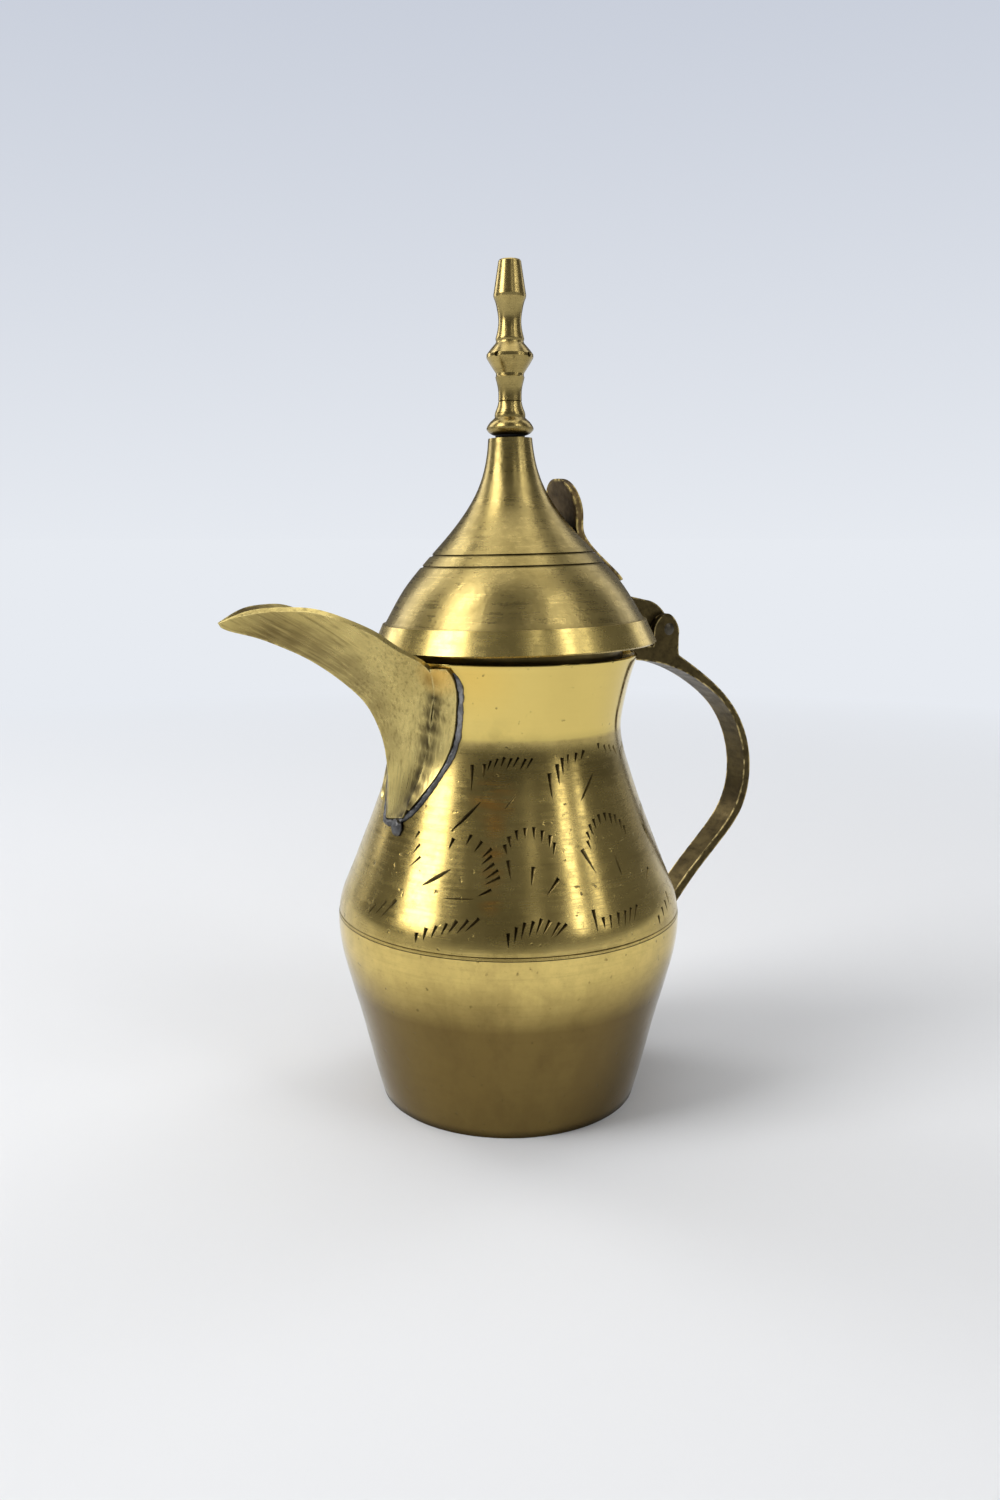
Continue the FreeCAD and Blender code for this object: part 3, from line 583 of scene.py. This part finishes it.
# long strokes between the motifs
cut(-132.2, 55.6, 40, 6.5, 0.42, 0.26, True)
cut(-117.1, 56.8, 37, 3.0, 0.28, 0.14, True)
cut(-141.3, 45.5, 55, 5.4, 0.5, 0.24, True)
cut(-132.0, 41.5, 87, 5.0, 0.2, 0.10, True)
cut(-102.6, 44.3, 41, 3.6, 0.55, 0.3)
cut(-111.4, 46.2, 9, 3.2, 0.5, 0.28)
cut(-120.5, 47.2, -8, 3.1, 0.5, 0.28)
cut(-91.8, 48.1, -23, 4.4, 0.55, 0.3)
cut(-77.1, 47.0, -5, 4.1, 0.32, 0.18, True)
cut(-50.7, 50.2, -15, 5.3, 0.4, 0.22, True)
cut(-59.0, 42.8, 50, 2.6, 0.4)
# fans and arches
cut_row(-157.9, -154.5, 50.2, 46.8, 3, 27, 42, 1.5, 2.7, 0.4)
cut(-141.9, 50.0, 18, 1.9, 0.48)
cut_row(-134.7, -126.6, 50.8, 48.9, 3, 23, 45, 2.0, 2.3, 0.48)
cut_row(-126.4, -123.2, 47.8, 44.9, 4, 45, 58, 2.1, 2.8, 0.42)
cut(-126.2, 43.0, 61, 2.5, 0.42)
cut_arch(-112.0, 47.6, 4.4, 156, 25, 8, 1.9, 0.5, 0.22)
cut_arch(-77.5, 48.1, 4.8, 166, 25, 10, 1.8, 0.46, 0.15)
# the rows above the seam
cut_row(-149.9, -130.0, 35.9, 38.9, 7, 0, 41, 1.8, 2.9, 0.48, 0.5)
cut_row(-120.3, -101.6, 37.0, 37.7, 8, 0, 46, 2.5, 2.8, 0.46, 1.3)
cut(-91.8, 39.3, -1, 3.7, 0.48)
cut_row(-88.6, -73.0, 37.9, 38.5, 6, 0, 34, 2.0, 2.9, 0.42)
cut_row(-62.8, -51.0, 35.6, 37.9, 4, 0, 10, 1.6, 2.4, 0.42)
cut_row(-170.0, -161.0, 38.4, 39.9, 3, 28, 36, 2.4, 4.2, 0.5)
# the same motifs carried round the side away from the spout, evenly spaced
MOTIFS = 5
MOTIF_STEP = 40.0
for motif in range(MOTIFS):
    centre = -38.0 + MOTIF_STEP * motif
    cut_arch(centre, 47.6 + rng.uniform(-0.5, 0.5), 4.6, 160, 24, 9, 1.9, 0.48, 0.2)
    cut(centre + 1.0, 46.4, 6, 3.3, 0.48, 0.26)
    cut_row(centre - 12.0, centre + 9.0, 61.4, 62.4, 7, 6, 30, 2.2, 2.3, 0.4, 0.4)
    if motif:
        cut_row(centre - 10.0, centre + 9.0, 36.9, 38.3, 8, 0, 40, 2.3, 2.8, 0.46, 0.8)
    cut(centre + 19.0, 54.5, 38, 5.6, 0.38, 0.2, True)

verts, faces = tubes(cuts)
cutter = new_piece("chisel_cutter", verts, faces, chisel_brass, None, smooth=False)
outward_normals(cutter)
# rounded pouring window behind the spout: the centres of its corners, and their radius
WINDOW_HALF = 5.0
WINDOW_TOP = 69.6
WINDOW_BOTTOM = 61.0
WINDOW_CORNER = 3.0
window = []
for x in (-30.0, -8.0):
    ring = []
    for cy, cz, start in ((WINDOW_HALF, WINDOW_TOP, 0), (-WINDOW_HALF, WINDOW_TOP, 90),
                          (-WINDOW_HALF, WINDOW_BOTTOM, 180), (WINDOW_HALF, WINDOW_BOTTOM, 270)):
        for step in range(7):
            a = math.radians(start + 15 * step)
            ring.append((x, cy + WINDOW_CORNER * math.cos(a), cz + WINDOW_CORNER * math.sin(a)))
    window.append(ring)
verts, faces = tubes([window])
opening = new_piece("window_cutter", verts, faces, body_brass, None, smooth=False)
outward_normals(opening)
for tool in (cutter, opening):
    boolean = shoulder.modifiers.new(tool.name, "BOOLEAN")
    boolean.operation = "DIFFERENCE"
    boolean.solver = "MANIFOLD"
    boolean.material_mode = "TRANSFER"
    boolean.object = tool
fixed_mesh(shoulder)
for tool in (cutter, opening):
    bpy.data.objects.remove(tool)


SHARP_ANGLE = 32.0
shoulder.data.shade_smooth()
shoulder.data.set_sharp_from_angle(angle=math.radians(SHARP_ANGLE))

# the walls of the cuts take the dark finish: faces a little below the outer surface, away from the
# window, whose rim passes through the same depths
ENGRAVED = (33.5, 66.0)
WALL_DEPTHS = (-0.45, -0.015)
shoulder.data.materials.append(chisel_brass)
for face in shoulder.data.polygons:
    x, y, z = face.center / MM
    by_window = x < -14.0 and z > 57.5 and abs(y) < 8.5
    if ENGRAVED[0] < z < ENGRAVED[1] and not by_window:
        if WALL_DEPTHS[0] < math.hypot(x, y) - radius(z) < WALL_DEPTHS[1]:
            face.material_index = len(shoulder.data.materials) - 1

# ---------------------------------------------------------------- solder round the spout
VOXEL = 0.13            # of the remesh that joins bead and drop
LUMPS = 0.15            # height of the solder's fine lumps
BEAD_HALF = 0.58
BEAD_HIGH = 0.50
BEAD_SINK = 0.05
BEAD_SIDES = 14
# where the cheeks' flanges end on the neck: distance from the middle plane, and height
JOINT = [(12.6, 75.6), (12.75, 74.0), (12.15, 70.5), (11.05, 66.0), (10.35, 63.0), (9.5, 59.8),
         (8.2, 56.6), (6.6, 53.6), (4.9, 51.8), (2.5, 50.6)]


def far_spread(y, z):
    """The far flange's distance from the middle plane: it narrows more towards its foot."""
    return y * float(np.interp(z, [53.0, 62.0, 70.0], [0.6, 0.85, 1.0])) * float(
        np.interp(z, [52.0, 61.0], [0.45, 1.0]))


def blob(centre, sizes, seed):
    """Rings of a lumpy ellipsoid, for a drop of solder."""
    rings, around = 14, 22
    out = []
    for i in range(1, rings):
        t = math.pi * i / rings
        ring = []
        for j in range(around):
            a = 2 * math.pi * j / around
            d = Vector((math.sin(t) * math.cos(a), math.sin(t) * math.sin(a), math.cos(t)))
            swell = 1 + 0.22 * noise.noise(d * 1.7 + Vector((seed, 0, 0)))
            reach = Vector((d.x * sizes[0], d.y * sizes[1], d.z * sizes[2]))
            ring.append(Vector(centre) + reach * swell)
        out.append(ring)
    return out


def organic(name, runs, node, body):
    """Solder runs joined into one lumpy piece, in place of a CAD node."""
    verts, faces = tubes(runs)
    piece = new_piece(name, verts, faces, solder_metal, body)
    remesh = piece.modifiers.new("union", "REMESH")
    remesh.mode = "VOXEL"
    remesh.voxel_size = VOXEL * MM
    remesh.use_smooth_shade = True
    mesh = fixed_mesh(piece)
    for v in mesh.vertices:
        p = v.co / MM
        lump = noise.noise(p * 1.1) * 0.6 + noise.noise(p * 3.1) * 0.4
        v.co += v.normal * (LUMPS * lump * MM)
    mesh.materials.clear()
    mesh.materials.append(solder_metal)
    mesh.shade_smooth()
    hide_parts(node)


near_side = [(-(y + 0.05), z) for y, z in JOINT]
lowest = (-0.9, 50.3)
far_side = [(far_spread(y, z), z) for y, z in JOINT]
path = smooth_line(near_side + [lowest] + far_side[::-1], 220)
rings = []
for i, (y, z) in enumerate(path):
    r = radius(z)
    a = math.degrees(math.atan2(y, -math.sqrt(r * r - y * y)))
    point, normal = on_shoulder(a, z)
    nxt = path[min(i + 1, len(path) - 1)] - path[max(i - 1, 0)]
    along = Vector((0, nxt[0], nxt[1])).normalized()
    side = normal.cross(along).normalized()
    wave = (noise.noise(Vector((i * 0.09, 3.0, 0))) * 0.22
            + noise.noise(Vector((i * 0.31, 8.0, 0))) * 0.12)
    end = min(1.0, 0.35 + 0.1 * min(i, len(path) - 1 - i))
    half, high = (BEAD_HALF + wave) * end, (BEAD_HIGH + 0.5 * wave) * end
    ring = []
    for j in range(BEAD_SIDES):
        t = 2 * math.pi * j / BEAD_SIDES
        ring.append(point + side * (half * math.cos(t)) + normal * (high * math.sin(t) - BEAD_SINK))
    rings.append(ring)
foot, _ = on_shoulder(189.5, 49.9, 0.12)
drop = blob(foot, (0.75, 1.45, 1.5), 4.0)
organic("spout_solder_bead", [rings, drop], "spout_solder", "pot")

# ---------------------------------------------------------------- stage and light
FLOOR_RADIUS = 30.0
PAPER_ENDS = (0.12, 0.55)       # metres from the pot between which paper fades into a pale glow
HORIZON = tone(0.80, 0.83, 0.88)
PAPER = tone(0.80, 0.81, 0.83)
ZENITH = tone(0.56, 0.60, 0.69)
ROOM = tone(0.13, 0.13, 0.132)

floor_mesh = bpy.data.meshes.new("floor")
bm = bmesh.new()
bmesh.ops.create_circle(bm, cap_ends=True, segments=96, radius=FLOOR_RADIUS)
bm.to_mesh(floor_mesh)
bm.free()
floor = bpy.data.objects.new("floor", floor_mesh)
bpy.context.collection.objects.link(floor)
n = Nodes("floor_paper")
distance = n.add("VectorMath", {0: n.coord()}, operation="LENGTH").outputs["Value"]
paper = n.add("BsdfDiffuse", {"Color": PAPER})
glow = n.add("Emission", {"Color": HORIZON, "Strength": 1.0})
both = n.add("MixShader", {0: n.span(distance, *PAPER_ENDS), 1: paper.outputs[0], 2: glow.outputs[0]})
n.add("OutputMaterial", {"Surface": both.outputs[0]})
floor_mesh.materials.append(n.material)

world = bpy.data.worlds.new("studio")
bpy.context.scene.world = world
world.use_nodes = True
# the camera sees a pale sky; the metal mirrors a dim room
n = Nodes("studio", world.node_tree)
height = n.add("SeparateXYZ", {0: n.add("TexCoord").outputs["Generated"]}).outputs[2]
sky = n.mix(n.span(height, -0.02, 0.42), HORIZON, ZENITH)
seen = n.add("Background", {"Color": sky, "Strength": 1.0})
room = n.add("Background", {"Color": ROOM, "Strength": 1.0})
ray = n.add("LightPath").outputs["Is Camera Ray"]
both = n.add("MixShader", {0: ray, 1: room.outputs[0], 2: seen.outputs[0]})
n.add("OutputWorld", {"Surface": both.outputs[0]})


AIM = Vector((0, 0, 0.06))


def softbox(name, azimuth, elevation, distance, width, tall, radiance):
    """A softbox seen from the pot at an elevation, and at an azimuth turned from the camera's:
    positive azimuths are to the camera's right.  Sizes are in metres."""
    data = bpy.data.lights.new(name, "AREA")
    data.shape = "RECTANGLE"
    data.size, data.size_y = width, tall
    data.energy = radiance * math.pi * width * tall
    lamp = bpy.data.objects.new(name, data)
    bpy.context.collection.objects.link(lamp)
    toward_camera = math.atan2(eye.y, eye.x)
    a = toward_camera + math.radians(azimuth)
    e = math.radians(elevation)
    out = Vector((math.cos(a) * math.cos(e), math.sin(a) * math.cos(e), math.sin(e)))
    lamp.location = out * distance + AIM
    lamp.rotation_euler = out.to_track_quat("Z", "Y").to_euler()


softbox("key_left", -66, 37, 1.0, 0.44, 0.95, 5.6)
softbox("strip_centre_right", 20, 42, 1.0, 0.10, 0.5, 1.5)
softbox("strip_right", 50, 38, 1.0, 0.12, 0.9, 4.0)
softbox("strip_far_right", 67, 36, 1.0, 0.10, 0.9, 2.6)
softbox("rim_left", -125, 30, 1.0, 0.35, 0.9, 2.6)
softbox("rim_right", 132, 30, 1.0, 0.3, 0.9, 1.2)
softbox("overhead", 180, 80, 1.1, 0.9, 0.9, 1.6)
